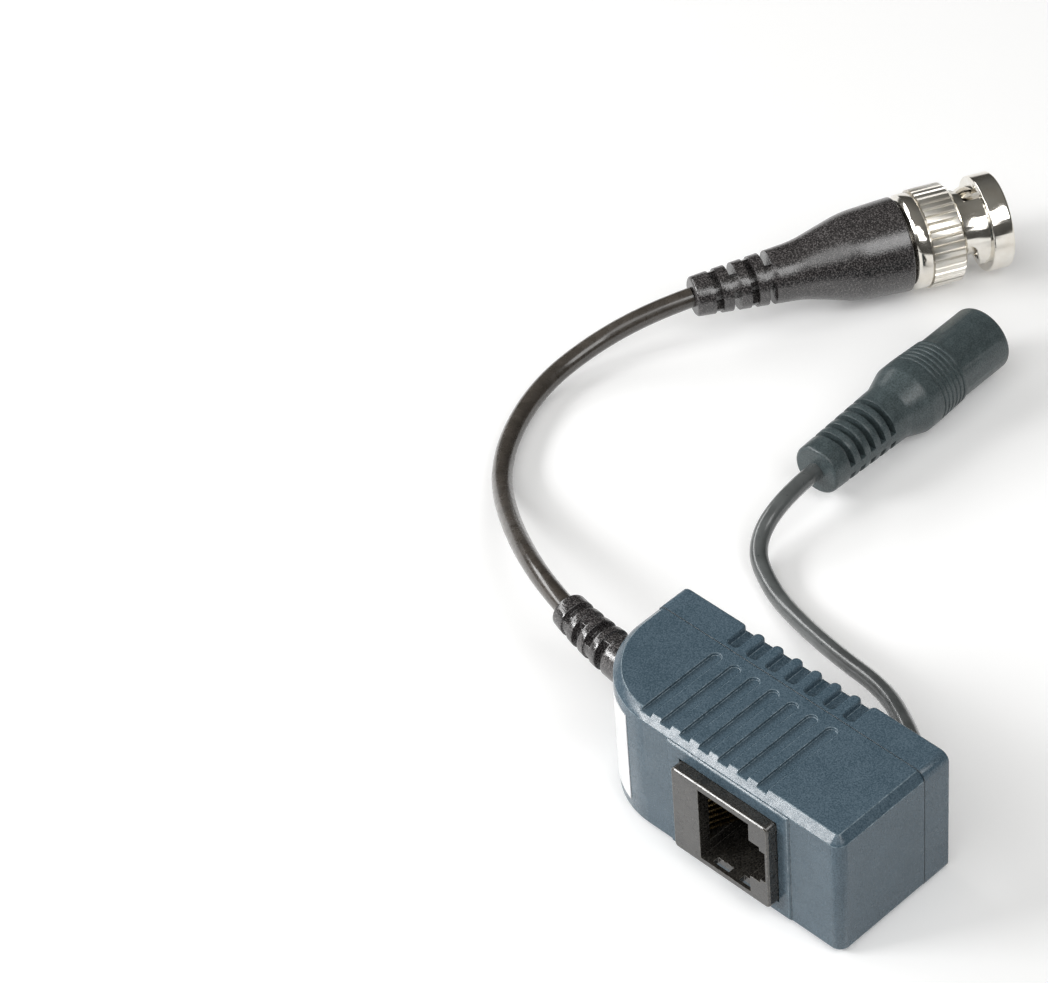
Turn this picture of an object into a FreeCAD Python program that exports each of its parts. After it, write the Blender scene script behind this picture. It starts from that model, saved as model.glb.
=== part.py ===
import FreeCAD, Part
import math
import os
import re

import Sketcher

# Passive video and power balun for a security camera: a two-shell housing with a network
# socket, a short coaxial pigtail with a bayonet plug, and a thin lead with a power socket.
# Frame: X along the housing, -Y out of the socket face, Z up, origin under the housing's middle.

V = FreeCAD.Vector
AXIS_X = V(1, 0, 0)
AXIS_Y = V(0, 1, 0)
AXIS_Z = V(0, 0, 1)

doc = FreeCAD.newDocument("cctv_video_balun")
sheet = doc.addObject("Spreadsheet::Sheet", "sizes")

# Driving dimensions in millimetres, angles in degrees
SIZES = [
    # housing
    ("housing_length", "44.5"),
    ("housing_depth", "20.05"),
    ("housing_height", "20.6"),
    ("corner_radius", "12.0"),
    ("side_corner_radius", "1.5"),
    ("edge_chamfer", "1.1"),
    ("seam_depth", "15.4"),
    ("wall", "1.6"),
    ("cover_edge_radius", "0.3"),
    ("cover_end_radius", "1.4"),
    ("part_gap", "0.05"),
    # moulded grooves, alike on the top and bottom faces
    ("groove_count", "7"),
    ("groove_pitch", "3.22"),
    ("groove_width", "1.64"),
    ("groove_depth", "0.42"),
    ("first_groove", "-10.25"),
    ("long_groove_end", "14.0"),
    ("short_groove_start", "16.2"),
    ("short_groove_depth", "0.9"),
    ("short_groove_corner", "0.5"),
    ("ridge_end_radius", "0.7"),
    # raised panel round the network socket
    ("panel_left", "-6.05"),
    ("panel_right", "14.25"),
    ("panel_rise", "0.3"),
    # network socket
    ("socket_centre", "4.25"),
    ("socket_width", "16.1"),
    ("socket_height", "14.2"),
    ("socket_proud", "1.95"),
    ("socket_round", "0.7"),
    ("mouth_left", "0.75"),
    ("mouth_width", "8.4"),
    ("mouth_height", "12.2"),
    ("mouth_depth", "12.0"),
    ("mouth_lip", "1.8"),
    ("contact_channel", "1.9"),
    ("latch_step", "1.7"),
    ("latch_step_height", "6.4"),
    ("latch_key", "0.9"),
    ("latch_key_height", "5.2"),
    ("contact_count", "8"),
    ("contact_pitch", "1.02"),
    ("contact_thickness", "0.34"),
    # circuit board and what is on it
    ("board_thickness", "1.2"),
    ("board_left", "-16.85"),
    ("board_margin", "0.35"),
    ("post_diameter", "2.4"),
    ("left_post", "-11.35"),
    ("lip_length", "1.2"),
    ("lip_thickness", "1.0"),
    ("lip_left", "-11.75"),
    ("core_centre", "-8.4"),
    ("core_outer", "7.4"),
    ("core_inner", "3.6"),
    ("core_thickness", "3.2"),
    ("suppressor_length", "2.8"),
    ("suppressor_width", "4.2"),
    ("suppressor_height", "2.2"),
    ("suppressor_shift", "3.6"),
    ("capacitor_length", "3.4"),
    ("capacitor_diameter", "1.8"),
    ("capacitor_shift", "1.2"),
    ("wire_end_room", "0.6"),
    ("winding_thickness", "0.45"),
    # white label on the big round corner
    ("label_thickness", "0.1"),
    ("label_height", "15.0"),
    ("label_bottom", "2.7"),
    ("label_start", "16.4"),
    ("label_span", "51"),
    # coaxial pigtail
    ("coax_diameter", "2.9"),
    ("gland_from_front", "12.25"),
    ("gland_neck", "4.9"),
    ("gland_root", "6.7"),
    ("gland_tip", "5.1"),
    ("gland_length", "15.55"),
    ("gland_bend", "65.0"),
    ("gland_flange", "1.5"),
    ("gland_flange_diameter", "6.0"),
    ("gland_seat_room", "0.45"),
    ("gland_slot_first", "2.7"),
    ("gland_slot_pitch", "2.43"),
    ("gland_slot_width", "1.3"),
    ("gland_web", "2.2"),
    # strain relief of the gland and of the boot: diameter left at the slots, depth of the webs
    ("relief_floor", "3.6"),
    ("web_recess", "0.28"),
    # boot of the bayonet plug
    ("boot_tip", "5.8"),
    ("boot_waist", "8.2"),
    ("boot_waist_at", "13.6"),
    ("boot_flare_at", "15.8"),
    ("boot_flare", "8.5"),
    ("boot_swell_at", "23.7"),
    ("boot_swell", "13.0"),
    ("boot_length", "31.4"),
    ("boot_end", "13.9"),
    ("boot_soft_radius", "18.0"),
    ("boot_slot_first", "3.2"),
    ("boot_slot_pitch", "2.6"),
    ("boot_slot_count", "4"),
    ("boot_slot_width", "1.1"),
    ("boot_slot_span", "140"),
    # bayonet plug metal parts, stations counted from the boot's cable end
    ("shank_start", "21.0"),
    ("shank_diameter", "8.4"),
    ("coupling_start", "31.7"),
    ("coupling_collar", "14.0"),
    ("coupling_collar_length", "2.2"),
    ("coupling_diameter", "14.5"),
    ("knurl_count", "40"),
    ("knurl_depth", "0.3"),
    ("knurl_groove", "0.25"),
    ("knurl_length", "4.6"),
    ("knurl_chamfer", "0.7"),
    ("neck_diameter", "11.6"),
    ("flange_start", "43.2"),
    ("flange_diameter", "14.2"),
    ("coupling_end", "46.5"),
    ("coupling_bore", "9.9"),
    ("washer_room", "2.5"),
    ("washer_bore", "12.2"),
    ("lip_bore", "9.36"),
    ("lip_depth", "1.5"),
    ("hub_diameter", "9.2"),
    ("hub_flange", "12.0"),
    ("hub_flange_length", "1.2"),
    ("outer_contact", "8.1"),
    ("outer_contact_bore", "5.9"),
    ("outer_contact_end", "44.9"),
    ("contact_slot", "0.5"),
    ("insulator_end", "39.5"),
    ("centre_pin", "1.36"),
    ("centre_pin_end", "44.2"),
    ("gasket_length", "1.0"),
    ("gasket_diameter", "9.5"),
    ("spring_thickness", "0.25"),
    ("bayonet_slot", "2.3"),
    ("bayonet_hole", "2.7"),
    ("bayonet_turn", "88"),
    ("bayonet_rise", "1.9"),
    ("bayonet_reach", "12.3"),
    # power lead and its socket, stations counted from the cable end
    ("lead_diameter", "2.5"),
    ("lead_exit", "14.2"),
    ("sleeve_tip", "7.4"),
    ("sleeve_waist", "8.4"),
    ("sleeve_waist_at", "15.4"),
    ("sleeve_slot_first", "3.0"),
    ("sleeve_slot_pitch", "2.05"),
    ("sleeve_slot_width", "0.95"),
    ("sleeve_slot_count", "5"),
    ("sleeve_slot_floor", "5.2"),
    ("sleeve_slot_span", "160"),
    ("shoulder_at", "18.7"),
    ("shoulder_diameter", "10.7"),
    ("collar_at", "20.85"),
    ("collar_rib_count", "6"),
    ("collar_rib_pitch", "0.86"),
    ("collar_rib_depth", "0.15"),
    ("barrel_at", "26.3"),
    ("barrel_diameter", "9.8"),
    ("power_length", "36.0"),
    ("insert_diameter", "7.9"),
    ("insert_bore", "5.8"),
    ("insert_at", "25.5"),
    ("insert_floor", "27.5"),
    ("power_pin", "2.0"),
    ("power_pin_end", "35.2"),
]

for row, (alias, value) in enumerate(SIZES, start=1):
    sheet.set("A%d" % row, alias)
    sheet.set("B%d" % row, value)
    sheet.setAlias("B%d" % row, alias)
doc.recompute()

ALIASES = [alias for alias, value in SIZES]
WORD = re.compile(r"\b(" + "|".join(sorted(ALIASES, key=len, reverse=True)) + r")\b")


def bound(expression):
    """The expression with each size's name led back to the sheet."""
    return WORD.sub(r"sizes.\1", expression)


def size(expression):
    """The present value of an expression in the sheet's names."""
    return float(sheet.evalExpression(bound(expression)))


# Planes of the housing that several pieces share, written once in the sheet's names
FRONT = "((socket_proud - housing_depth) / 2)"
REAR = "((socket_proud + housing_depth) / 2)"
SEAM = "(%s + seam_depth)" % FRONT
MIDDLE = "(housing_height / 2)"
BOARD_BACK = "(%s - lip_length - part_gap)" % SEAM
BOARD_FRONT = "(%s - board_thickness)" % BOARD_BACK
GLAND_Y = "(%s + gland_from_front)" % FRONT


def new_body(name):
    body = doc.addObject("PartDesign::Body", name)
    body.Label = name
    return body


def new_sketch(body, name, role, offset="0", roll=0):
    """A sketch on one of the body's own planes, rolled about its X and moved along its normal."""
    sketch = body.newObject("Sketcher::SketchObject", name)
    plane = [item for item in body.Origin.OriginFeatures if item.Role == role][0]
    sketch.AttachmentSupport = [(plane, "")]
    sketch.MapMode = "FlatFace"
    sketch.AttachmentOffset = FreeCAD.Placement(V(0, 0, 0), FreeCAD.Rotation(AXIS_X, roll))
    sketch.setExpression("AttachmentOffset.Base.z", bound(offset))
    return sketch


def pin_point(sketch, index, end, point):
    """Hold one end of an edge at a place given in the sheet's names."""
    for kind, expression in (("DistanceX", point[0]), ("DistanceY", point[1])):
        number = sketch.addConstraint(Sketcher.Constraint(kind, -1, 1, index, end, size(expression)))
        sketch.setExpression("Constraints[%d]" % number, bound(expression))


def polygon(sketch, points):
    """A closed outline of straight edges."""
    first = sketch.GeometryCount
    values = [V(size(x), size(y), 0) for x, y in points]
    count = len(points)
    for number in range(count):
        sketch.addGeometry(Part.LineSegment(values[number], values[(number + 1) % count]), False)
    for number in range(count):
        following = first + (number + 1) % count
        sketch.addConstraint(Sketcher.Constraint("Coincident", first + number, 2, following, 1))
    for number in range(count):
        pin_point(sketch, first + number, 1, points[number])


def rectangle(sketch, left, right, low, high):
    polygon(sketch, [(left, low), (right, low), (right, high), (left, high)])


def circle(sketch, x, y, diameter):
    index = sketch.addGeometry(Part.Circle(V(size(x), size(y), 0), AXIS_Z, size(diameter) / 2), False)
    pin_point(sketch, index, 3, (x, y))
    number = sketch.addConstraint(Sketcher.Constraint("Diameter", index, size(diameter)))
    sketch.setExpression("Constraints[%d]" % number, bound(diameter))


def round_cornered(sketch, left, right, low, high, radius):
    """A rectangle whose lower left corner is one large arc."""
    x0, x1, y0, y1, r = (size(item) for item in (left, right, low, high, radius))
    sketch.addGeometry(Part.LineSegment(V(x0 + r, y0, 0), V(x1, y0, 0)), False)
    sketch.addGeometry(Part.LineSegment(V(x1, y0, 0), V(x1, y1, 0)), False)
    sketch.addGeometry(Part.LineSegment(V(x1, y1, 0), V(x0, y1, 0)), False)
    sketch.addGeometry(Part.LineSegment(V(x0, y1, 0), V(x0, y0 + r, 0)), False)
    corner = Part.Circle(V(x0 + r, y0 + r, 0), AXIS_Z, r)
    sketch.addGeometry(Part.ArcOfCircle(corner, math.pi, 1.5 * math.pi), False)
    for number in range(3):
        sketch.addConstraint(Sketcher.Constraint("Coincident", number, 2, number + 1, 1))
    sketch.addConstraint(Sketcher.Constraint("Tangent", 3, 2, 4, 1))
    sketch.addConstraint(Sketcher.Constraint("Tangent", 4, 2, 0, 1))
    sketch.addConstraint(Sketcher.Constraint("Horizontal", 0))
    sketch.addConstraint(Sketcher.Constraint("Vertical", 3))
    number = sketch.addConstraint(Sketcher.Constraint("Radius", 4, r))
    sketch.setExpression("Constraints[%d]" % number, bound(radius))
    pin_point(sketch, 0, 2, (right, low))
    pin_point(sketch, 2, 1, (right, high))
    pin_point(sketch, 2, 2, (left, high))


def slot_outline(sketch, middle, tip, back, width):
    """An open-ended slot along +Y with a full-round tip."""
    x, y_tip, y_back, half = size(middle), size(tip), size(back), size(width) / 2
    y_centre = y_tip - half
    sketch.addGeometry(Part.LineSegment(V(x + half, y_back, 0), V(x + half, y_centre, 0)), False)
    end = Part.Circle(V(x, y_centre, 0), AXIS_Z, half)
    sketch.addGeometry(Part.ArcOfCircle(end, 0, math.pi), False)
    sketch.addGeometry(Part.LineSegment(V(x - half, y_centre, 0), V(x - half, y_back, 0)), False)
    sketch.addGeometry(Part.LineSegment(V(x - half, y_back, 0), V(x + half, y_back, 0)), False)
    sketch.addConstraint(Sketcher.Constraint("Tangent", 0, 2, 1, 1))
    sketch.addConstraint(Sketcher.Constraint("Tangent", 1, 2, 2, 1))
    sketch.addConstraint(Sketcher.Constraint("Coincident", 2, 2, 3, 1))
    sketch.addConstraint(Sketcher.Constraint("Coincident", 3, 2, 0, 1))
    sketch.addConstraint(Sketcher.Constraint("Horizontal", 3))
    sketch.addConstraint(Sketcher.Constraint("Vertical", 0))
    number = sketch.addConstraint(Sketcher.Constraint("Radius", 1, half))
    sketch.setExpression("Constraints[%d]" % number, bound("%s / 2" % width))
    pin_point(sketch, 1, 3, (middle, "%s - %s / 2" % (tip, width)))
    number = sketch.addConstraint(Sketcher.Constraint("DistanceY", -1, 1, 3, 1, y_back))
    sketch.setExpression("Constraints[%d]" % number, bound(back))


def pad(body, sketch, length, back=False, both=False):
    feature = body.newObject("PartDesign::Pad", sketch.Name + "_pad")
    feature.Profile = sketch
    feature.setExpression("Length", bound(length))
    feature.Reversed = back
    feature.Midplane = both
    return feature


def pocket(body, sketch, length, back=False, both=False):
    feature = body.newObject("PartDesign::Pocket", sketch.Name + "_cut")
    feature.Profile = sketch
    feature.setExpression("Length", bound(length))
    feature.Reversed = back
    feature.Midplane = both
    return feature


def turned(body, sketch):
    """A turned solid about the sketch's horizontal axis."""
    feature = body.newObject("PartDesign::Revolution", sketch.Name + "_turned")
    feature.Profile = sketch
    feature.ReferenceAxis = (sketch, ["H_Axis"])
    feature.Angle = 360
    return feature


def ring_cut(body, sketch, span):
    """Slots swept about the sketch's horizontal axis, their middle in the sketch's plane."""
    feature = body.newObject("PartDesign::Groove", sketch.Name + "_cut")
    feature.Profile = sketch
    feature.ReferenceAxis = (sketch, ["H_Axis"])
    feature.Midplane = True
    feature.setExpression("Angle", bound(span))
    return feature


def turned_piece(name, points):
    """A body turned about X from an outline of stations and radii."""
    body = new_body(name)
    sketch = new_sketch(body, name + "_outline", "XZ_Plane")
    polygon(sketch, points)
    turned(body, sketch)
    doc.recompute()
    return body


def grooved(first, pitch, width, count, surface, depth):
    """Outline points of shallow square grooves; surface gives a turned piece's radius at a station."""
    points = []
    for number in range(int(size(count))):
        for side, deep in (("-", (0, 1)), ("+", (1, 0))):
            station = "(%s + %d * %s %s %s / 2)" % (first, number, pitch, side, width)
            points.extend((station, "%s - %d * %s" % (surface(station), share, depth)) for share in deep)
    return points


def row_of(body, feature, role, length, count):
    """A row of copies of one feature along an axis of the body."""
    pattern = body.newObject("PartDesign::LinearPattern", feature.Name + "_row")
    pattern.Originals = [feature]
    axis = [item for item in body.Origin.OriginFeatures if item.Role == role][0]
    pattern.Direction = (axis, [""])
    pattern.setExpression("Length", bound(length))
    pattern.setExpression("Occurrences", bound(count))
    body.Tip = pattern
    return pattern


def picked(shape, test):
    """Names of the edges whose middle and ends pass a test."""
    names = []
    for number, edge in enumerate(shape.Edges, start=1):
        middle = edge.valueAt((edge.FirstParameter + edge.LastParameter) / 2)
        if test(edge, middle):
            names.append("Edge%d" % number)
    return names


def dress(body, kind, name, amount, test):
    """A fillet or chamfer on the edges of the body's last feature that pass the test."""
    doc.recompute()
    base = body.Tip
    edges = picked(base.Shape, test)
    if not edges:
        raise RuntimeError("no edge found for " + name)
    feature = body.newObject("PartDesign::" + kind, name)
    feature.Base = (base, edges)
    feature.setExpression("Radius" if kind == "Fillet" else "Size", bound(amount))
    doc.recompute()
    return feature


def near(value, expression, slack=0.01):
    return abs(value - size(expression)) < slack


def spans(edge, direction, share=0.9):
    """True where an edge runs along a direction."""
    box = edge.BoundBox
    lengths = {"X": box.XLength, "Y": box.YLength, "Z": box.ZLength}
    return lengths[direction] > share * max(edge.Length, 1e-6)


def ring_at(expression, radius, slack=0.02):
    """A test for the circular edge at a station and radius of a turned piece."""
    def test(edge, middle):
        box = edge.BoundBox
        round_edge = isinstance(edge.Curve, Part.Circle)
        far = max(abs(box.YMin), abs(box.YMax), abs(box.ZMin), abs(box.ZMax))
        return round_edge and box.XLength < slack and near(box.XMin, expression, slack) \
            and abs(far - size(radius)) < slack
    return test


def set_solid(name, shape):
    """A piece shaped directly, where no profile or primitive fits it."""
    feature = doc.addObject("Part::Feature", name)
    feature.Label = name
    feature.Shape = shape
    return feature


def boxed(x0, x1, y0, y1, z0, z1):
    return Part.makeBox(x1 - x0, y1 - y0, z1 - z0, V(x0, y0, z0))


# Front shell: moulded plastic with one large round corner, chamfered edges, a row of long
# grooves on both broad faces and a low raised panel round the socket
def front_shell():
    body = new_body("front_shell")
    outline = new_sketch(body, "shell_outline", "XY_Plane")
    round_cornered(outline, "-housing_length / 2", "housing_length / 2", FRONT, SEAM, "corner_radius")
    pad(body, outline, "housing_height")

    def side_corner(edge, middle):
        return spans(edge, "Z") and near(middle.x, "housing_length / 2") and near(middle.y, FRONT)
    dress(body, "Fillet", "shell_side_corner", "side_corner_radius", side_corner)

    def rim(edge, middle):
        level = near(middle.z, "0") or near(middle.z, "housing_height")
        return level and not near(middle.y, SEAM)
    dress(body, "Chamfer", "shell_chamfer", "edge_chamfer", rim)

    panel = new_sketch(body, "socket_panel", "XZ_Plane", "-%s - wall / 2" % FRONT)
    rectangle(panel, "panel_left", "panel_right", "edge_chamfer", "housing_height - edge_chamfer")
    pad(body, panel, "wall / 2 + panel_rise")

    def panel_edge(edge, middle):
        return near(middle.y, "%s - panel_rise" % FRONT)
    dress(body, "Chamfer", "panel_chamfer", "panel_rise * 0.8", panel_edge)

    tip = "%s + long_groove_end" % FRONT
    back = "%s - 1" % FRONT
    for side, level, upward in (("top", "housing_height - groove_depth", True), ("under", "groove_depth", False)):
        groove = new_sketch(body, side + "_groove", "XY_Plane", level)
        slot_outline(groove, "first_groove", tip, back, "groove_width")
        cut = pocket(body, groove, "groove_depth + 1", back=upward)
        row_of(body, cut, "X_Axis", "groove_pitch * (groove_count - 1)", "groove_count")

    hollow = new_sketch(body, "shell_hollow", "XY_Plane", "wall")
    round_cornered(hollow, "-housing_length / 2 + wall", "housing_length / 2 - wall", "%s + wall" % FRONT,
                   "%s + 1" % SEAM, "corner_radius - wall")
    pocket(body, hollow, "housing_height - 2 * wall", back=True)

    window = new_sketch(body, "socket_window", "XZ_Plane", "-%s + 1" % FRONT)
    rectangle(window, "socket_centre - socket_width / 2 - part_gap", "socket_centre + socket_width / 2 + part_gap",
              "%s - socket_height / 2 - part_gap" % MIDDLE, "%s + socket_height / 2 + part_gap" % MIDDLE)
    pocket(body, window, "wall + 2")

    notch = new_sketch(body, "gland_notch", "YZ_Plane", "-housing_length / 2 - 1")
    circle(notch, GLAND_Y, MIDDLE, "gland_neck + 2 * part_gap")
    pocket(body, notch, "wall + 2", back=True)
    mouth = new_sketch(body, "gland_notch_mouth", "YZ_Plane", "-housing_length / 2 - 1")
    rectangle(mouth, GLAND_Y, "%s + 1" % SEAM, "%s - gland_neck / 2 - part_gap" % MIDDLE,
              "%s + gland_neck / 2 + part_gap" % MIDDLE)
    pocket(body, mouth, "wall + 2", back=True)

    posts = new_sketch(body, "board_posts", "XZ_Plane", "-%s + part_gap" % BOARD_FRONT)
    for x in ("housing_length / 2 - wall - post_diameter / 2 - 0.4", "left_post"):
        for z in ("wall + post_diameter / 2 + 0.4", "housing_height - wall - post_diameter / 2 - 0.4"):
            circle(posts, x, z, "post_diameter")
    pad(body, posts, "%s - %s - wall / 2" % (BOARD_FRONT, FRONT))
    doc.recompute()
    return body


# Rear cover: closes the shell at the seam, with the short grooves run off its back edge, a lip
# that enters the front shell and holds the board, and a tongue behind the cable gland
def rear_cover():
    body = new_body("rear_cover")
    block = new_sketch(body, "cover_outline", "XY_Plane")
    rectangle(block, "-housing_length / 2", "housing_length / 2", SEAM, REAR)
    pad(body, block, "housing_height")

    def rim(edge, middle):
        level = near(middle.z, "0") or near(middle.z, "housing_height")
        return level and (near(middle.x, "-housing_length / 2") or near(middle.x, "housing_length / 2"))
    dress(body, "Fillet", "cover_ends", "cover_end_radius", rim)

    start = "%s + short_groove_start" % FRONT
    for side, level, upward in (("top", "housing_height - short_groove_depth", True),
                                ("under", "short_groove_depth", False)):
        groove = new_sketch(body, side + "_short_groove", "XY_Plane", level)
        rectangle(groove, "first_groove - groove_width / 2", "first_groove + groove_width / 2", start, "%s + 1" % REAR)
        cut = pocket(body, groove, "short_groove_depth + 1", back=upward)
        row_of(body, cut, "X_Axis", "groove_pitch * (groove_count - 1)", "groove_count")

    def groove_corner(edge, middle):
        return spans(edge, "Z") and near(edge.Length, "short_groove_depth") and near(middle.y, start)
    dress(body, "Fillet", "groove_corners", "short_groove_corner", groove_corner)

    def ridge_end(edge, middle):
        return spans(edge, "Z") and near(edge.Length, "short_groove_depth") and near(middle.y, REAR)
    dress(body, "Fillet", "ridge_ends", "ridge_end_radius", ridge_end)

    def back_edge(edge, middle):
        return near(edge.BoundBox.YMin, REAR)
    dress(body, "Fillet", "cover_round", "cover_edge_radius", back_edge)

    hollow = new_sketch(body, "cover_hollow", "XZ_Plane", "-%s + 1" % SEAM)
    inside = "housing_length / 2 - wall - lip_thickness"
    low_inside = "wall + lip_thickness"
    high_inside = "housing_height - wall - lip_thickness"
    rectangle(hollow, "-housing_length / 2 + wall", inside, low_inside, high_inside)
    pocket(body, hollow, "%s - %s + 1 - wall" % (REAR, SEAM))

    lip = new_sketch(body, "cover_lip", "XZ_Plane", "-%s + lip_length" % SEAM)
    outside = "housing_length / 2 - wall - part_gap"
    low = "wall + part_gap"
    high = "housing_height - wall - part_gap"
    polygon(lip, [("lip_left", low), (outside, low), (outside, high), ("lip_left", high), ("lip_left", high_inside),
                  (inside, high_inside), (inside, low_inside), ("lip_left", low_inside)])
    pad(body, lip, "lip_length + 0.2", back=True)

    tongue = new_sketch(body, "gland_tongue", "YZ_Plane", "-housing_length / 2")
    rectangle(tongue, "%s + gland_neck / 4" % GLAND_Y, "%s + 0.6" % SEAM, "%s - gland_neck / 2" % MIDDLE,
              "%s + gland_neck / 2" % MIDDLE)
    pad(body, tongue, "wall")
    seat = new_sketch(body, "gland_seat", "YZ_Plane", "-housing_length / 2 - 1")
    circle(seat, GLAND_Y, MIDDLE, "gland_neck + 2 * part_gap")
    pocket(body, seat, "wall + 2", back=True)

    outlet = new_sketch(body, "lead_outlet", "XZ_Plane", "-%s - 1" % REAR)
    circle(outlet, "lead_exit", MIDDLE, "lead_diameter + 2 * part_gap")
    pocket(body, outlet, "wall + 2", back=True)
    doc.recompute()
    return body


# Label: thin white film stuck on the big round corner, its face bare
def label():
    outer = doc.addObject("Part::Cylinder", "label_outside")
    inner = doc.addObject("Part::Cylinder", "label_inside")
    for item, radius in ((outer, "corner_radius + label_thickness"), (inner, "corner_radius")):
        item.setExpression("Radius", bound(radius))
        item.setExpression("Height", bound("label_height"))
    outer.setExpression("Angle", bound("label_span"))
    turn = size("270 - label_start - label_span")
    place = V(size("-housing_length / 2 + corner_radius"), size("%s + corner_radius" % FRONT), size("label_bottom"))
    outer.Placement = FreeCAD.Placement(place, FreeCAD.Rotation(AXIS_Z, turn))
    inner.Placement = FreeCAD.Placement(place, FreeCAD.Rotation())
    film = doc.addObject("Part::Cut", "label")
    film.Label = "label"
    film.Base = outer
    film.Tool = inner
    doc.recompute()
    return film


# Network socket housing: black moulded block with a stepped keyway for the plug's latch, a
# channel behind its front lip for the contact springs, and small windows in its lower wall
def socket_housing():
    body = new_body("socket_housing")
    mouth_face = "%s - socket_proud" % FRONT
    left = "socket_centre - socket_width / 2"
    right = "socket_centre + socket_width / 2"
    low = "%s - socket_height / 2" % MIDDLE
    high = "%s + socket_height / 2" % MIDDLE
    block = new_sketch(body, "socket_block", "XZ_Plane", "-(%s)" % mouth_face)
    rectangle(block, left, right, low, high)
    pad(body, block, "%s - part_gap - (%s)" % (BOARD_FRONT, mouth_face), back=True)

    def long_edge(edge, middle):
        return spans(edge, "Y")
    dress(body, "Fillet", "socket_corners", "socket_round", long_edge)

    def face_edge(edge, middle):
        return near(middle.y, mouth_face)
    dress(body, "Chamfer", "socket_face_edge", "0.2", face_edge)

    start = "-(%s) + 1" % mouth_face
    opening = new_sketch(body, "socket_mouth", "XZ_Plane", start)
    rectangle(opening, "mouth_left", "mouth_left + mouth_width", "%s - mouth_height / 2" % MIDDLE,
              "%s + mouth_height / 2" % MIDDLE)
    pocket(body, opening, "mouth_depth + 1")
    step = new_sketch(body, "latch_step_cut", "XZ_Plane", start)
    rectangle(step, "mouth_left + mouth_width - 0.5", "mouth_left + mouth_width + latch_step",
              "%s - latch_step_height / 2" % MIDDLE, "%s + latch_step_height / 2" % MIDDLE)
    pocket(body, step, "mouth_depth + 1")
    key = new_sketch(body, "latch_key_cut", "XZ_Plane", start)
    rectangle(key, "mouth_left + mouth_width", "mouth_left + mouth_width + latch_step + latch_key",
              "%s - latch_key_height / 2" % MIDDLE, "%s + latch_key_height / 2" % MIDDLE)
    pocket(body, key, "mouth_depth + 1 - 4")

    channel = new_sketch(body, "contact_channel_cut", "XZ_Plane", "-(%s) - mouth_lip" % mouth_face)
    half = "((contact_count - 1) * contact_pitch / 2 + contact_thickness / 2 + 0.6)"
    rectangle(channel, "mouth_left - contact_channel", "mouth_left + 0.5", "%s - %s" % (MIDDLE, half),
              "%s + %s" % (MIDDLE, half))
    pocket(body, channel, "%s - (%s) + 1" % (BOARD_FRONT, mouth_face))

    windows = new_sketch(body, "lower_windows", "XY_Plane", "%s - 0.5" % low)
    for x in ("mouth_left + 1.6", "mouth_left + mouth_width - 2.4"):
        rectangle(windows, x, "%s + 2.6" % x, "%s + 0.55" % mouth_face, "%s + 1.45" % mouth_face)
    pocket(body, windows, "(socket_height - mouth_height) / 2 + 1", back=True)
    doc.recompute()
    return body


# Contact springs of the network socket: eight wires that run forward in the channel, turn
# over behind the lip and slant back into the mouth
def socket_contacts():
    thick = size("contact_thickness")
    x_low = size("mouth_left - contact_channel") + 0.1
    y_lip = size("%s - socket_proud + mouth_lip" % FRONT) + 0.25
    y_back = size(BOARD_FRONT)
    rise = 3.9
    slant_end = y_lip + 7.4
    low, high = x_low, x_low + rise
    outline = [V(low, y_back, 0), V(low, y_lip, 0), V(low + 0.7, y_lip, 0), V(high, slant_end, 0),
               V(high - thick, slant_end + 0.12, 0), V(low + 0.62, y_lip + thick * 1.4, 0),
               V(low + thick, y_lip + thick, 0), V(low + thick, y_back, 0), V(low, y_back, 0)]
    face = Part.Face(Part.makePolygon(outline))
    one = face.extrude(V(0, 0, thick))
    count = int(size("contact_count"))
    pitch = size("contact_pitch")
    bottom = size(MIDDLE) - (count - 1) * pitch / 2 - thick / 2
    copies = [one.translated(V(0, 0, bottom + number * pitch)) for number in range(count)]
    return set_solid("socket_contacts", Part.makeCompound(copies))


# Circuit board: glass fibre sheet across the housing just in front of the seam
def circuit_board():
    body = new_body("circuit_board")
    sheet_outline = new_sketch(body, "board_outline", "XZ_Plane", "-%s" % BOARD_FRONT)
    rectangle(sheet_outline, "board_left", "housing_length / 2 - wall - board_margin", "wall + board_margin",
              "housing_height - wall - board_margin")
    pad(body, sheet_outline, "board_thickness", back=True)
    doc.recompute()
    return body


# Balun transformer: a ferrite ring flat on the board with two enamelled windings over it
def balun_transformer():
    rest = size(BOARD_FRONT) - size("winding_thickness") - 0.02
    centre = V(size("core_centre"), rest - size("core_thickness"), size(MIDDLE))
    outer = size("core_outer") / 2
    inner = size("core_inner") / 2
    thickness = size("core_thickness")
    ring = Part.makeCylinder(outer, thickness, centre, AXIS_Y)
    core = ring.cut(Part.makeCylinder(inner, thickness, centre, AXIS_Y))
    set_solid("balun_core", core)
    wire = size("winding_thickness")
    over_centre = centre - AXIS_Y * wire
    halves = []
    for turn in (25, 205):
        over = Part.makeCylinder(outer + wire, thickness + 2 * wire, over_centre, AXIS_Y, 130)
        hole = Part.makeCylinder(inner - wire, thickness + 2 * wire, over_centre, AXIS_Y)
        sector = over.cut(hole).cut(ring_clear(centre, outer, inner, thickness))
        sector.rotate(centre, AXIS_Y, turn)
        halves.append(sector)
    return set_solid("balun_windings", Part.makeCompound(halves))


def ring_clear(centre, outer, inner, thickness):
    """The room of the ferrite ring with a hair's clearance all round."""
    hair = 0.02
    start = centre - AXIS_Y * hair
    ring = Part.makeCylinder(outer + hair, thickness + 2 * hair, start, AXIS_Y)
    return ring.cut(Part.makeCylinder(inner - hair, thickness + 2 * hair, start, AXIS_Y))


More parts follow.
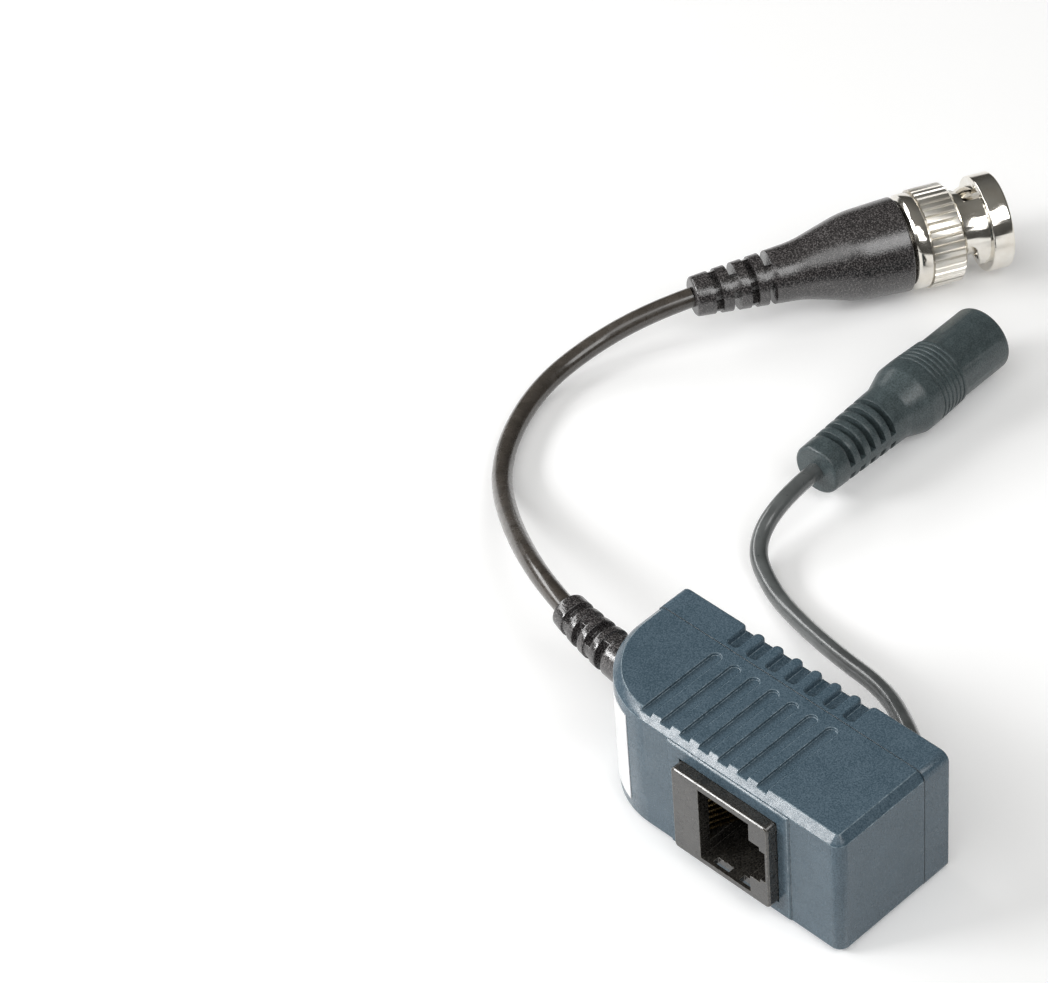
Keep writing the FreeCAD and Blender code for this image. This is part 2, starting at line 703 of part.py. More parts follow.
# Surge suppressors and capacitors: small parts soldered on the board
def board_parts():
    face = size(BOARD_FRONT)
    right = size("housing_length / 2 - wall - board_margin")
    side = size("socket_centre + socket_width / 2")
    middle_x = (side + right) / 2
    half_width = size("suppressor_width") / 2
    half_length = size("suppressor_length") / 2
    outer = face - size("suppressor_height")
    blocks = []
    for z in (size(MIDDLE) - size("suppressor_shift"), size(MIDDLE) + size("suppressor_shift")):
        block = boxed(middle_x - half_width, middle_x + half_width, outer, face, z - half_length, z + half_length)
        rim = [edge for edge in block.Edges if near(edge.CenterOfMass.y, "%s - suppressor_height" % BOARD_FRONT)]
        blocks.append(block.makeChamfer(0.3, rim))
    set_solid("surge_suppressors", Part.makeCompound(blocks))
    length = size("capacitor_length")
    radius = size("capacitor_diameter") / 2
    left_x = size("core_centre + capacitor_shift") - length / 2
    inset = size("wall + board_margin + capacitor_shift")
    discs = []
    for z in (inset, size("housing_height") - inset):
        discs.append(Part.makeCylinder(radius, length, V(left_x, face - radius, z), AXIS_X))
    return set_solid("capacitors", Part.makeCompound(discs))


# Wires inside: the coaxial cable's core and braid tail, and the power lead's two cores
def inner_wires():
    face = size(BOARD_FRONT)
    middle = size(MIDDLE)
    start = size("-housing_length / 2 + wall + gland_seat_room + gland_flange + part_gap")
    length = size("core_centre - core_outer / 2 - winding_thickness - wire_end_room") - start
    for name, radius, z in (("coax_core", 0.45, middle + 1.3), ("coax_braid_tail", 0.6, middle - 1.3)):
        wire = Part.makeCylinder(radius, length, V(start, face - radius, z), AXIS_X)
        set_solid(name, wire)
    back = size(BOARD_BACK)
    length = LEAD_ROUTE[0].y - back
    for name, shift in (("power_core_red", 0.6), ("power_core_black", -0.6)):
        wire = Part.makeCylinder(0.5, length, V(size("lead_exit") + shift, back, middle), AXIS_Y)
        set_solid(name, wire)


# Gland of the coaxial cable: soft black moulding with a neck held in the housing's wall and a
# tapered tail that follows the cable's bend, with ring slots whose two sunk webs turn by 90
# degrees from slot to slot
def gland_place(distance):
    """Point and direction on the gland's axis, counted from the housing's end face."""
    bend = size("gland_bend")
    angle = distance / bend
    root = V(size("-housing_length / 2"), size(GLAND_Y), size(MIDDLE))
    point = root + V(-bend * math.sin(angle), bend * (1 - math.cos(angle)), 0)
    return point, V(-math.cos(angle), math.sin(angle), 0)


def coax_gland():
    length = size("gland_length")
    root = size("gland_root") / 2
    tip = size("gland_tip") / 2
    stations = 7
    sections = []
    for number in range(stations):
        distance = length * number / (stations - 1)
        point, direction = gland_place(distance)
        radius = root + (tip - root) * distance / length
        sections.append(Part.Wire(Part.makeCircle(radius, point, direction)))
    tail = Part.makeLoft(sections, True, False)
    web = size("gland_web")
    slot = size("gland_slot_width")
    floor = size("relief_floor") / 2
    for number in range(4):
        point, direction = gland_place(length - size("gland_slot_first") - number * size("gland_slot_pitch"))
        across = AXIS_Z if number % 2 else direction.cross(AXIS_Z)
        along = direction.cross(across)
        start = point - direction * (slot / 2)
        blank = Part.makeCylinder(root + 1, slot, start, direction)
        reach = point.distanceToPoint(gland_place(0)[0]) / length
        sunk = root + (tip - root) * reach - size("web_recess")
        tail = tail.cut(blank.cut(Part.makeCylinder(sunk, slot, start, direction)))
        ring = blank.cut(Part.makeCylinder(floor, slot, start, direction))
        low = start - across * (root + 2) - along * (web / 2)
        high = low + along * web
        far = across * (2 * root + 4)
        webs = Part.Face(Part.makePolygon([low, low + far, high + far, high, low])).extrude(direction * slot)
        tail = tail.cut(ring.cut(webs))
    neck_from = size("-housing_length / 2")
    y, z = size(GLAND_Y), size(MIDDLE)
    neck_length = size("wall + gland_seat_room")
    neck = Part.makeCylinder(size("gland_neck") / 2, neck_length, V(neck_from, y, z), AXIS_X)
    flange = Part.makeCylinder(size("gland_flange_diameter") / 2, size("gland_flange"),
                               V(neck_from + neck_length, y, z), AXIS_X)
    whole = tail.fuse(neck).fuse(flange).removeSplitter()
    return set_solid("coax_gland", whole)


# Routes of the two cables, chosen by hand, and the tubes that follow them
def tail_end():
    point, direction = gland_place(size("gland_length"))
    return point, direction


GLAND_END, GLAND_WAY = tail_end()
PLUG_HEIGHT = size("coupling_diameter") / 2
SOCKET_HEIGHT = size("shoulder_diameter") / 2

COAX_ROUTE = [
    GLAND_END,
    GLAND_END + GLAND_WAY * 5.2,
    V(-51.73, 10.53, 8.2),
    V(-61.82, 16.94, 4.4),
    V(-70.02, 23.48, 1.8),
    V(-75.49, 31.00, 1.5),
    V(-79.01, 40.61, 1.8),
    V(-78.16, 50.27, 3.6),
    V(-74.25, 58.50, PLUG_HEIGHT - 0.75),
    V(-71.49, 63.87, PLUG_HEIGHT),
]

LEAD_ROUTE = [
    V(size("lead_exit"), 7.68, size(MIDDLE)),
    V(size("lead_exit"), 12.02, size(MIDDLE)),
    V(12.30, 16.02, 10.2),
    V(8.45, 18.76, 9.7),
    V(1.26, 22.96, 8.0),
    V(-10.01, 26.00, 4.8),
    V(-20.02, 29.35, 2.1),
    V(-26.97, 31.83, 1.3),
    V(-33.66, 35.61, 2.2),
    V(-35.04, 42.67, SOCKET_HEIGHT),
    V(-35.24, 49.87, SOCKET_HEIGHT),
]


def route_wire(name, points, diameter):
    """Straight runs joined by tangent arcs, each as large as its two runs allow."""
    edges = []
    last = points[0]
    radii = []
    for before, point, after in zip(points, points[1:], points[2:]):
        back = before - point
        ahead = after - point
        trim = 0.45 * min(back.Length, ahead.Length)
        back.normalize()
        ahead.normalize()
        half_turn = (math.pi - back.getAngle(ahead)) / 2
        radii.append(trim / math.tan(half_turn))
        enter = point + back * trim
        leave = point + ahead * trim
        inward = (back + ahead).normalize()
        centre_gap = trim / math.tan(half_turn) / math.cos(half_turn)
        middle = point + inward * (centre_gap - radii[-1])
        edges.append(Part.LineSegment(last, enter).toShape())
        edges.append(Part.Arc(enter, middle, leave).toShape())
        last = leave
    edges.append(Part.LineSegment(last, points[-1]).toShape())
    shares = ", ".join("%.1f" % (radius / diameter) for radius in radii)
    print(name, "radii in diameters:", shares)
    return Part.Wire(edges)


def cable(name, points, diameter):
    """A round jacket along a route, cut off flush at its plug, which lies level."""
    path = route_wire(name, points, diameter)
    start = Part.Wire(Part.makeCircle(diameter / 2, points[0], points[1] - points[0]))
    tube = path.makePipeShell([start], True, True)
    expected = math.pi * diameter ** 2 / 4 * path.Length
    print(name, "length %.2f mm, volume %.2f against %.2f" % (path.Length, tube.Volume, expected))
    way = points[-1] - points[-2]
    beyond = Part.makeCylinder(diameter, diameter, points[-1], V(way.x, way.y, 0))
    return set_solid(name, tube.cut(beyond))


def along_cable(body, points):
    """Place a piece that is modelled along +X at the end of a cable."""
    way = points[-1] - points[-2]
    turn = math.degrees(math.atan2(way.y, way.x))
    body.Placement = FreeCAD.Placement(points[-1], FreeCAD.Rotation(AXIS_Z, turn))


# Boot of the bayonet plug: black moulding with a slotted tail and a long soft flare
def plug_boot():
    def tail_surface(station):
        return "boot_tip / 2 + (boot_waist - boot_tip) / 2 * %s / boot_waist_at" % station
    webs = grooved("boot_slot_first", "boot_slot_pitch", "boot_slot_width", "boot_slot_count", tail_surface,
                   "web_recess")
    body = turned_piece("plug_boot", [("0", "0"), ("0", "boot_tip / 2")] + webs + [
        ("boot_waist_at", "boot_waist / 2"), ("boot_flare_at", "boot_flare / 2"),
        ("boot_swell_at", "boot_swell / 2"), ("boot_length", "boot_end / 2"),
        ("boot_length", "shank_diameter / 2 + part_gap"), ("shank_start - part_gap", "shank_diameter / 2 + part_gap"),
        ("shank_start - part_gap", "0")])
    dress(body, "Fillet", "boot_flare_round", "boot_soft_radius", ring_at("boot_flare_at", "boot_flare / 2"))
    dress(body, "Fillet", "boot_swell_round", "boot_soft_radius", ring_at("boot_swell_at", "boot_swell / 2"))
    dress(body, "Fillet", "boot_tip_round", "0.5", ring_at("0", "boot_tip / 2"))
    dress(body, "Fillet", "boot_end_round", "0.35", ring_at("boot_length", "boot_end / 2"))
    for number, roll in ((0, 45), (1, -45)):
        middle = "(boot_slot_first + %d * boot_slot_pitch)" % number
        slots = new_sketch(body, "boot_slots_%d" % number, "XZ_Plane", roll=roll)
        for low, high in (("relief_floor / 2", "boot_end / 2"), ("-boot_end / 2", "-relief_floor / 2")):
            rectangle(slots, "%s - boot_slot_width / 2" % middle, "%s + boot_slot_width / 2" % middle, low, high)
        cut = ring_cut(body, slots, "boot_slot_span")
        row_of(body, cut, "X_Axis", "(boot_slot_count - 2) * boot_slot_pitch", "boot_slot_count / 2")
    doc.recompute()
    return body


# Hub of the bayonet plug: turned metal, its shank in the boot, its flange inside the coupling
FLANGE_BACK = "(coupling_start + lip_depth + washer_room - hub_flange_length - part_gap)"
FLANGE_FRONT = "(coupling_start + lip_depth + washer_room - part_gap)"


def plug_hub():
    bore = "outer_contact_bore / 2 + 0.5 + part_gap"
    return turned_piece("plug_hub", [
        ("shank_start", "0"), ("shank_start", "shank_diameter / 2"), ("boot_length", "shank_diameter / 2"),
        ("boot_length", "hub_diameter / 2"), (FLANGE_BACK, "hub_diameter / 2"), (FLANGE_BACK, "hub_flange / 2"),
        (FLANGE_FRONT, "hub_flange / 2"), (FLANGE_FRONT, bore), ("shank_start + 8", bore), ("shank_start + 8", "0")])


# Outer contact: slit metal sleeve that enters the mating socket
def plug_outer_contact():
    body = turned_piece("plug_outer_contact", [
        ("shank_start + 8 + part_gap", "outer_contact_bore / 2"),
        ("shank_start + 8 + part_gap", "outer_contact_bore / 2 + 0.5"),
        ("%s + part_gap" % FLANGE_FRONT, "outer_contact_bore / 2 + 0.5"),
        ("%s + part_gap" % FLANGE_FRONT, "outer_contact / 2"),
        ("outer_contact_end - 0.6", "outer_contact / 2"), ("outer_contact_end", "outer_contact / 2 - 0.3"),
        ("outer_contact_end", "outer_contact_bore / 2")])
    for number, role in ((0, "XY_Plane"), (1, "XZ_Plane")):
        slit = new_sketch(body, "sleeve_slit_%d" % number, role)
        rectangle(slit, "%s + gasket_length + 1" % FLANGE_FRONT, "outer_contact_end + 1", "-contact_slot / 2",
                  "contact_slot / 2")
        pocket(body, slit, "outer_contact * 2", both=True)
    doc.recompute()
    return body


def plug_insulator():
    return turned_piece("plug_insulator", [
        ("shank_start + 8.1", "centre_pin / 2 + part_gap"), ("shank_start + 8.1", "outer_contact_bore / 2 - part_gap"),
        ("insulator_end", "outer_contact_bore / 2 - part_gap"), ("insulator_end", "centre_pin / 2 + part_gap")])


def plug_centre_pin():
    return turned_piece("plug_centre_pin", [
        ("shank_start + 8 + part_gap", "0"), ("shank_start + 8 + part_gap", "centre_pin / 2"),
        ("centre_pin_end - 0.9", "centre_pin / 2"), ("centre_pin_end", "centre_pin / 7"), ("centre_pin_end", "0")])


def plug_gasket():
    low = "outer_contact / 2 + part_gap"
    start = "%s + part_gap" % FLANGE_FRONT
    return turned_piece("plug_gasket", [
        (start, low), (start, "gasket_diameter / 2"), ("%s + gasket_length" % start, "gasket_diameter / 2"),
        ("%s + gasket_length" % start, low)])


# Spring washer: dished spring steel between the coupling's rear lip and the hub's flange
def plug_spring_washer():
    rear = "coupling_start + lip_depth + part_gap"
    front = "%s - part_gap" % FLANGE_BACK
    low = "hub_diameter / 2 + part_gap"
    high = "washer_bore / 2 - 0.2"
    return turned_piece("plug_spring_washer", [
        (rear, high), ("%s + spring_thickness" % rear, high), (front, low), ("%s - spring_thickness" % front, low)])


# Coupling of the bayonet plug: one turned and knurled sleeve with two helical slots, each
# from an entry groove under the front flange to a round seat
def plug_coupling():
    start = "coupling_start"
    collar_end = "coupling_start + coupling_collar_length"
    knurl_start = "%s + knurl_groove" % collar_end
    knurl_end = "%s + knurl_length" % knurl_start
    chamfer_end = "%s + knurl_chamfer" % knurl_end
    body = turned_piece("coupling_blank", [
        (start, "lip_bore / 2"), (start, "coupling_collar / 2 - 0.6"), ("%s + 0.6" % start, "coupling_collar / 2"),
        (collar_end, "coupling_collar / 2"), (collar_end, "coupling_collar / 2 - 0.35"),
        (knurl_start, "coupling_collar / 2 - 0.35"), (knurl_start, "coupling_diameter / 2"),
        (knurl_end, "coupling_diameter / 2"), (chamfer_end, "coupling_diameter / 2 - 0.8"),
        (chamfer_end, "neck_diameter / 2"), ("flange_start", "neck_diameter / 2"),
        ("flange_start", "flange_diameter / 2"), ("coupling_end", "flange_diameter / 2"),
        ("coupling_end", "coupling_bore / 2"), ("coupling_start + lip_depth + washer_room", "coupling_bore / 2"),
        ("coupling_start + lip_depth + washer_room", "washer_bore / 2"),
        ("coupling_start + lip_depth", "washer_bore / 2"), ("coupling_start + lip_depth", "lip_bore / 2")])
    dress(body, "Fillet", "flange_front_round", "0.45", ring_at("coupling_end", "flange_diameter / 2"))
    dress(body, "Fillet", "flange_back_round", "0.25", ring_at("flange_start", "flange_diameter / 2"))
    dress(body, "Chamfer", "coupling_lead_in", "0.35", ring_at("coupling_end", "coupling_bore / 2"))

    notch = new_sketch(body, "knurl_notch", "YZ_Plane", knurl_start)
    half = "(coupling_diameter * 3.14159 / knurl_count / 4)"
    polygon(notch, [("-%s" % half, "coupling_diameter / 2 + 0.1"), ("0", "coupling_diameter / 2 - knurl_depth"),
                    (half, "coupling_diameter / 2 + 0.1")])
    cut = pocket(body, notch, "knurl_length + knurl_chamfer", back=True)
    pattern = body.newObject("PartDesign::PolarPattern", "knurl")
    pattern.Originals = [cut]
    axis = [item for item in body.Origin.OriginFeatures if item.Role == "X_Axis"][0]
    pattern.Axis = (axis, [""])
    pattern.Angle = 360
    pattern.setExpression("Occurrences", bound("knurl_count"))
    body.Tip = pattern
    doc.recompute()

    cutters = doc.addObject("Part::Feature", "bayonet_cutters")
    cutters.Shape = bayonet_cutters()
    coupling = doc.addObject("Part::Cut", "plug_coupling")
    coupling.Label = "plug_coupling"
    coupling.Base = body
    coupling.Tool = cutters
    doc.recompute()
    return coupling


def bayonet_cutters():
    """Two slots: an entry groove under the flange, a helical ramp and a round seat at its end."""
    half = size("bayonet_slot") / 2
    inner = size("coupling_bore") / 2 - 1
    outer = size("neck_diameter") / 2 + 1
    ramp_start = size("flange_start") - half - 0.1
    rise = size("bayonet_rise")
    turn = size("bayonet_turn")
    steps = 8
    sections = []
    for number in range(steps + 1):
        share = number / steps
        angle = math.radians(turn * share)
        station = ramp_start - rise * share
        way = V(0, math.sin(angle), math.cos(angle))
        corners = [way * inner + V(station - half, 0, 0), way * outer + V(station - half, 0, 0),
                   way * outer + V(station + half, 0, 0), way * inner + V(station + half, 0, 0)]
        sections.append(Part.makePolygon(corners + [corners[0]]))
    ramp = Part.makeLoft(sections, True, True)
    seat_way = V(0, math.sin(math.radians(turn)), math.cos(math.radians(turn)))
    seat_at = V(ramp_start - rise - 0.25, 0, 0) + seat_way * inner
    seat = Part.makeCylinder(size("bayonet_hole") / 2, outer - inner, seat_at, seat_way)
    reach = size("bayonet_reach") / 2
    entry = boxed(ramp_start - half, size("coupling_end") + 1, -half, half, inner, reach)
    one = ramp.fuse(seat).fuse(entry)
    other = one.copy()
    other.rotate(V(0, 0, 0), AXIS_X, 180)
    return Part.makeCompound([one, other])


# Power socket: grey overmoulded body with a slotted tail, a cone, a ribbed collar and a barrel
def power_body():
    collar_end = "(barrel_diameter / 2 + 0.2)"

    def collar_surface(station):
        return "shoulder_diameter / 2 - (%s - collar_at) * (shoulder_diameter / 2 - %s) / (barrel_at - collar_at)" % (
            station, collar_end)
    ribs = grooved("(collar_at + 0.35 * collar_rib_pitch)", "collar_rib_pitch", "(0.4 * collar_rib_pitch)",
                   "collar_rib_count", collar_surface, "collar_rib_depth")
    body = turned_piece("power_body", [
        ("0", "0"), ("0", "sleeve_tip / 2"), ("sleeve_waist_at", "sleeve_waist / 2"),
        ("shoulder_at", "shoulder_diameter / 2"), ("collar_at", "shoulder_diameter / 2")] + ribs + [
        ("barrel_at", collar_end), ("barrel_at", "barrel_diameter / 2"),
        ("power_length", "barrel_diameter / 2"), ("power_length", "insert_diameter / 2 + part_gap"),
        ("insert_at", "insert_diameter / 2 + part_gap"), ("insert_at", "0")])
    dress(body, "Fillet", "tail_round", "0.5", ring_at("0", "sleeve_tip / 2"))
    dress(body, "Fillet", "cone_round", "1.6", ring_at("shoulder_at", "shoulder_diameter / 2"))
    dress(body, "Fillet", "waist_round", "1.2", ring_at("sleeve_waist_at", "sleeve_waist / 2"))
    dress(body, "Fillet", "barrel_round", "0.7", ring_at("power_length", "barrel_diameter / 2"))
    slots = new_sketch(body, "tail_slots", "XZ_Plane")
    last = "sleeve_slot_first + sleeve_slot_width"
    for low, high in (("sleeve_slot_floor / 2", "shoulder_diameter / 2"),
                      ("-shoulder_diameter / 2", "-sleeve_slot_floor / 2")):
        rectangle(slots, "sleeve_slot_first", last, low, high)
    cut = ring_cut(body, slots, "sleeve_slot_span")
    row_of(body, cut, "X_Axis", "sleeve_slot_pitch * (sleeve_slot_count - 1)", "sleeve_slot_count")
    doc.recompute()
    return body


def power_insert():
    return turned_piece("power_insert", [
        ("insert_at + part_gap", "power_pin / 2 + part_gap"), ("insert_at + part_gap", "insert_diameter / 2"),
        ("power_length - 0.5", "insert_diameter / 2"), ("power_length - 0.5", "insert_bore / 2"),
        ("insert_floor", "insert_bore / 2"), ("insert_floor", "power_pin / 2 + part_gap")])


def power_centre_pin():
    return turned_piece("power_centre_pin", [
        ("insert_at + part_gap", "0"), ("insert_at + part_gap", "power_pin / 2"),
        ("power_pin_end - 0.5", "power_pin / 2"), ("power_pin_end", "power_pin / 2 - 0.5"), ("power_pin_end", "0")])


# Side spring of the power socket: a bowed strip that lies along the bore
def power_side_spring():
    body = new_body("power_side_spring")
    strip = new_sketch(body, "spring_strip", "XZ_Plane")
    low = "-insert_bore / 2 + 0.1"
    polygon(strip, [("insert_floor + 0.05", low), ("insert_floor + 2", low), ("insert_floor + 4.5", "%s + 0.5" % low),
                    ("insert_floor + 7", low), ("insert_floor + 7", "%s + 0.25" % low),
                    ("insert_floor + 4.5", "%s + 0.75" % low), ("insert_floor + 2", "%s + 0.25" % low),
                    ("insert_floor + 0.05", "%s + 0.25" % low)])
    pad(body, strip, "1.3", both=True)
    doc.recompute()
    return body


front_shell()
rear_cover()
label()
socket_housing()
socket_contacts()
circuit_board()
balun_transformer()
board_parts()
inner_wires()
coax_gland()
cable("coax_cable", COAX_ROUTE, size("coax_diameter"))
for piece in (plug_boot(), plug_hub(), plug_outer_contact(), plug_insulator(), plug_centre_pin(), plug_gasket(),
              plug_spring_washer(), plug_coupling()):
    along_cable(piece, COAX_ROUTE)
cable("power_lead", LEAD_ROUTE, size("lead_diameter"))
for piece in (power_body(), power_insert(), power_centre_pin(), power_side_spring()):
    along_cable(piece, LEAD_ROUTE)

NODES = [
    "front_shell", "rear_cover", "label", "socket_housing", "socket_contacts", "circuit_board", "balun_core",
    "balun_windings", "surge_suppressors", "capacitors", "coax_core", "coax_braid_tail", "power_core_red",
    "power_core_black", "coax_gland", "coax_cable", "plug_boot", "plug_hub", "plug_outer_contact",
    "plug_insulator", "plug_centre_pin", "plug_gasket", "plug_spring_washer", "plug_coupling", "power_lead",
    "power_body", "power_insert", "power_centre_pin", "power_side_spring",
]

doc.recompute()
for item in doc.Objects:
    if "Invalid" in item.State or "Error" in item.State:
        raise RuntimeError("%s failed: %s" % (item.Name, item.State))
    if item.TypeId in ("PartDesign::Pocket", "PartDesign::Groove"):
        if item.BaseFeature.Shape.Volume - item.Shape.Volume < 1e-6:
            raise RuntimeError("%s cuts nothing" % item.Name)

os.makedirs("parts", exist_ok=True)
for name in NODES:
    piece = doc.getObjectsByLabel(name)[0]
    shape = piece.Shape
    if shape.isNull() or not shape.isValid():
        raise RuntimeError("%s has no valid shape" % name)
    shape.exportStep("parts/%s.step" % name)
    print("%-20s solids %d volume %.2f" % (name, len(shape.Solids), shape.Volume))
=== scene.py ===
import math

import bpy
from mathutils import Matrix, Vector


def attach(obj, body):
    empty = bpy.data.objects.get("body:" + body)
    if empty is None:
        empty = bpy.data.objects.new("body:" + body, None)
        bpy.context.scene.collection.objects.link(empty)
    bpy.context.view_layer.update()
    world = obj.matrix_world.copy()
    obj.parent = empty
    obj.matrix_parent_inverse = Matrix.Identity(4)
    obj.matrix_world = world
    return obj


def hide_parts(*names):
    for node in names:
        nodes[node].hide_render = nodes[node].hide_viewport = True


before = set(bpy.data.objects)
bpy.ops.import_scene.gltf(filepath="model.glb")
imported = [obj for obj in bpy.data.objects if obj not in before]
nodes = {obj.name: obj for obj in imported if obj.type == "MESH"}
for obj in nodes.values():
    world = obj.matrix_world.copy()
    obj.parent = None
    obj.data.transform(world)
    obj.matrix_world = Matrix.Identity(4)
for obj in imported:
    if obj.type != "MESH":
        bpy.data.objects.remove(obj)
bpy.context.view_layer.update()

# The studio view: a long lens looks down on the socket face and the plain end of the housing
# from the right. The rig is only a camera, its frame is 1048 by 983.
frame_width, film_width = 1048, 36
focal_pixels = 4121.68
lens_place = Vector((0.24693, -0.251485, 0.38497))
turn, tilt, lean = math.radians(48.635), math.radians(42.659), math.radians(-5.090)
ahead = Vector((-math.sin(turn) * math.cos(tilt), math.cos(turn) * math.cos(tilt), -math.sin(tilt)))
level = Vector((math.cos(turn), math.sin(turn), 0))
over = level.cross(ahead)
camera_right = level * math.cos(lean) + over * math.sin(lean)
camera_up = over * math.cos(lean) - level * math.sin(lean)
camera_data = bpy.data.cameras.new("studio_camera")
camera_data.sensor_fit = "HORIZONTAL"
camera_data.sensor_width = film_width
camera_data.lens = focal_pixels / frame_width * film_width
camera_data.clip_start = 0.01
camera_data.clip_end = 20
camera = bpy.data.objects.new("studio_camera", camera_data)
bpy.context.scene.collection.objects.link(camera)
camera.matrix_world = Matrix.LocRotScale(
    lens_place, Matrix((camera_right, camera_up, -ahead)).transposed().to_quaternion(), None)
bpy.context.scene.camera = camera


# Coaxial pigtail: a black soft PVC jacket drawn over braid, foam and core. The gland holds it at
# the housing, and the plug's boot is moulded over its far end.
def jacket_line(name, points, diameter):
    """A cable jacket along a smooth line. The points are in millimetres, the diameter in metres."""
    curve = bpy.data.curves.new(name, "CURVE")
    curve.dimensions = "3D"
    spline = curve.splines.new("NURBS")
    spline.points.add(len(points) - 1)
    for held, point in zip(spline.points, points):
        held.co = (*(along / 1000 for along in point), 1)
    spline.order_u = 3
    spline.use_endpoint_u = True
    spline.resolution_u = 24
    curve.bevel_depth = diameter / 2
    curve.bevel_resolution = 10
    jacket = bpy.data.objects.new(name, curve)
    bpy.context.scene.collection.objects.link(jacket)
    return jacket


def shader(name, colour, roughness, metal=0.0, coat=0.0, specular=0.5):
    """A material with its own principled shader, whose even values are set on the sockets."""
    material = bpy.data.materials.new(name)
    material.use_nodes = True
    surface = material.node_tree.nodes["Principled BSDF"]
    surface.inputs["Base Color"].default_value = (*colour, 1)
    surface.inputs["Roughness"].default_value = roughness
    surface.inputs["Metallic"].default_value = metal
    surface.inputs["Coat Weight"].default_value = coat
    surface.inputs["Coat Roughness"].default_value = 0.12
    surface.inputs["Specular IOR Level"].default_value = specular
    return material


def node_of(material, kind, **sockets):
    """A new node in a material, with the values of its sockets given by name."""
    made = material.node_tree.nodes.new(kind)
    for socket, value in sockets.items():
        made.inputs[socket.replace("_", " ")].default_value = value
    return made


def grain(material, scale, detail=3.0, stretch=(1, 1, 1), turned=0.0):
    """Noise over the piece in its own place, as one scalar. Scale is in spots per metre."""
    place = node_of(material, "ShaderNodeTexCoord")
    mapping = node_of(material, "ShaderNodeMapping", Scale=stretch, Rotation=(0, 0, turned))
    noise = node_of(material, "ShaderNodeTexNoise", Scale=scale, Detail=detail)
    material.node_tree.links.new(place.outputs["Object"], mapping.inputs["Vector"])
    material.node_tree.links.new(mapping.outputs["Vector"], noise.inputs["Vector"])
    return noise.outputs["Fac"]


def shade_between(material, value, low, high, first, second):
    """Colour that runs from first to second as a scalar passes from low to high."""
    ramp = node_of(material, "ShaderNodeValToRGB")
    ramp.color_ramp.elements[0].position = low
    ramp.color_ramp.elements[0].color = (*first, 1)
    ramp.color_ramp.elements[1].position = high
    ramp.color_ramp.elements[1].color = (*second, 1)
    material.node_tree.links.new(value, ramp.inputs["Fac"])
    return ramp.outputs["Color"]


def tint(material, colour):
    """Base colour that follows a colour output."""
    surface = material.node_tree.nodes["Principled BSDF"]
    material.node_tree.links.new(colour, surface.inputs["Base Color"])


def polish(material, value, low, high):
    """Roughness between two values, as a scalar goes through the 0.3 to 0.7 that noise fills."""
    spread = node_of(material, "ShaderNodeMapRange")
    spread.inputs["From Min"].default_value = 0.3
    spread.inputs["From Max"].default_value = 0.7
    spread.inputs["To Min"].default_value = low
    spread.inputs["To Max"].default_value = high
    surface = material.node_tree.nodes["Principled BSDF"]
    material.node_tree.links.new(value, spread.inputs["Value"])
    material.node_tree.links.new(spread.outputs["Result"], surface.inputs["Roughness"])


def relief(material, value, depth, strength=1.0):
    """Surface relief from a scalar. Depth is in metres. Later reliefs stack on earlier ones."""
    bump = node_of(material, "ShaderNodeBump", Strength=strength, Distance=depth)
    surface = material.node_tree.nodes["Principled BSDF"]
    if surface.inputs["Normal"].is_linked:
        earlier = surface.inputs["Normal"].links[0].from_socket
        material.node_tree.links.new(earlier, bump.inputs["Normal"])
    material.node_tree.links.new(value, bump.inputs["Height"])
    material.node_tree.links.new(bump.outputs["Normal"], surface.inputs["Normal"])


coax_diameter = 0.0029
coax_route = [
    (-37.65, 5.05, 10.3), (-42.70, 6.28, 10.3), (-51.73, 10.53, 8.2), (-61.82, 16.94, 4.4),
    (-70.02, 23.48, 1.8), (-75.49, 31.00, 1.5), (-79.01, 40.61, 1.8), (-78.16, 50.27, 3.6),
    (-74.25, 58.50, 6.5), (-71.49, 63.87, 7.25)]
coax_jacket = jacket_line("coax_jacket", coax_route, coax_diameter)
jacket_sheen, jacket_skin = 900, 2600
black_jacket = shader("black_cable_jacket", (0.022, 0.021, 0.020), 0.3, coat=0.7, specular=0.6)
polish(black_jacket, grain(black_jacket, jacket_sheen, 4), 0.2, 0.36)
relief(black_jacket, grain(black_jacket, jacket_skin, 2), 0.00001, 0.5)
relief(black_jacket, grain(black_jacket, 260, 2), 0.00012, 0.4)
tint(black_jacket, shade_between(black_jacket, grain(black_jacket, 500, 5), 0.35, 0.7,
                                 (0.034, 0.028, 0.022), (0.060, 0.050, 0.041)))
coax_jacket.data.materials.append(black_jacket)
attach(coax_jacket, "balun")
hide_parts("coax_cable")

# Power lead: a thinner grey PVC jacket over two cores. It leaves the rear cover through a plain
# hole and ends in the moulded body of the power socket.
lead_diameter = 0.0025
lead_route = [
    (14.20, 7.68, 10.3), (14.20, 12.02, 10.3), (12.30, 16.02, 10.2), (8.45, 18.76, 9.7),
    (1.26, 22.96, 8.0), (-10.01, 26.00, 4.8), (-20.02, 29.35, 2.1), (-26.97, 31.83, 1.3),
    (-33.66, 35.61, 2.2), (-35.04, 42.67, 5.35), (-35.24, 49.87, 5.35)]
lead_jacket = jacket_line("lead_jacket", lead_route, lead_diameter)
grey_jacket = shader("grey_cable_jacket", (0.080, 0.080, 0.078), 0.34, coat=0.6)
polish(grey_jacket, grain(grey_jacket, jacket_sheen, 4), 0.26, 0.4)
relief(grey_jacket, grain(grey_jacket, jacket_skin, 2), 0.00001, 0.5)
relief(grey_jacket, grain(grey_jacket, 220, 2), 0.00012, 0.4)
tint(grey_jacket, shade_between(grey_jacket, grain(grey_jacket, 400, 5), 0.35, 0.7,
                                (0.070, 0.076, 0.076), (0.102, 0.110, 0.110)))
lead_jacket.data.materials.append(grey_jacket)
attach(lead_jacket, "balun")
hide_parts("power_lead")


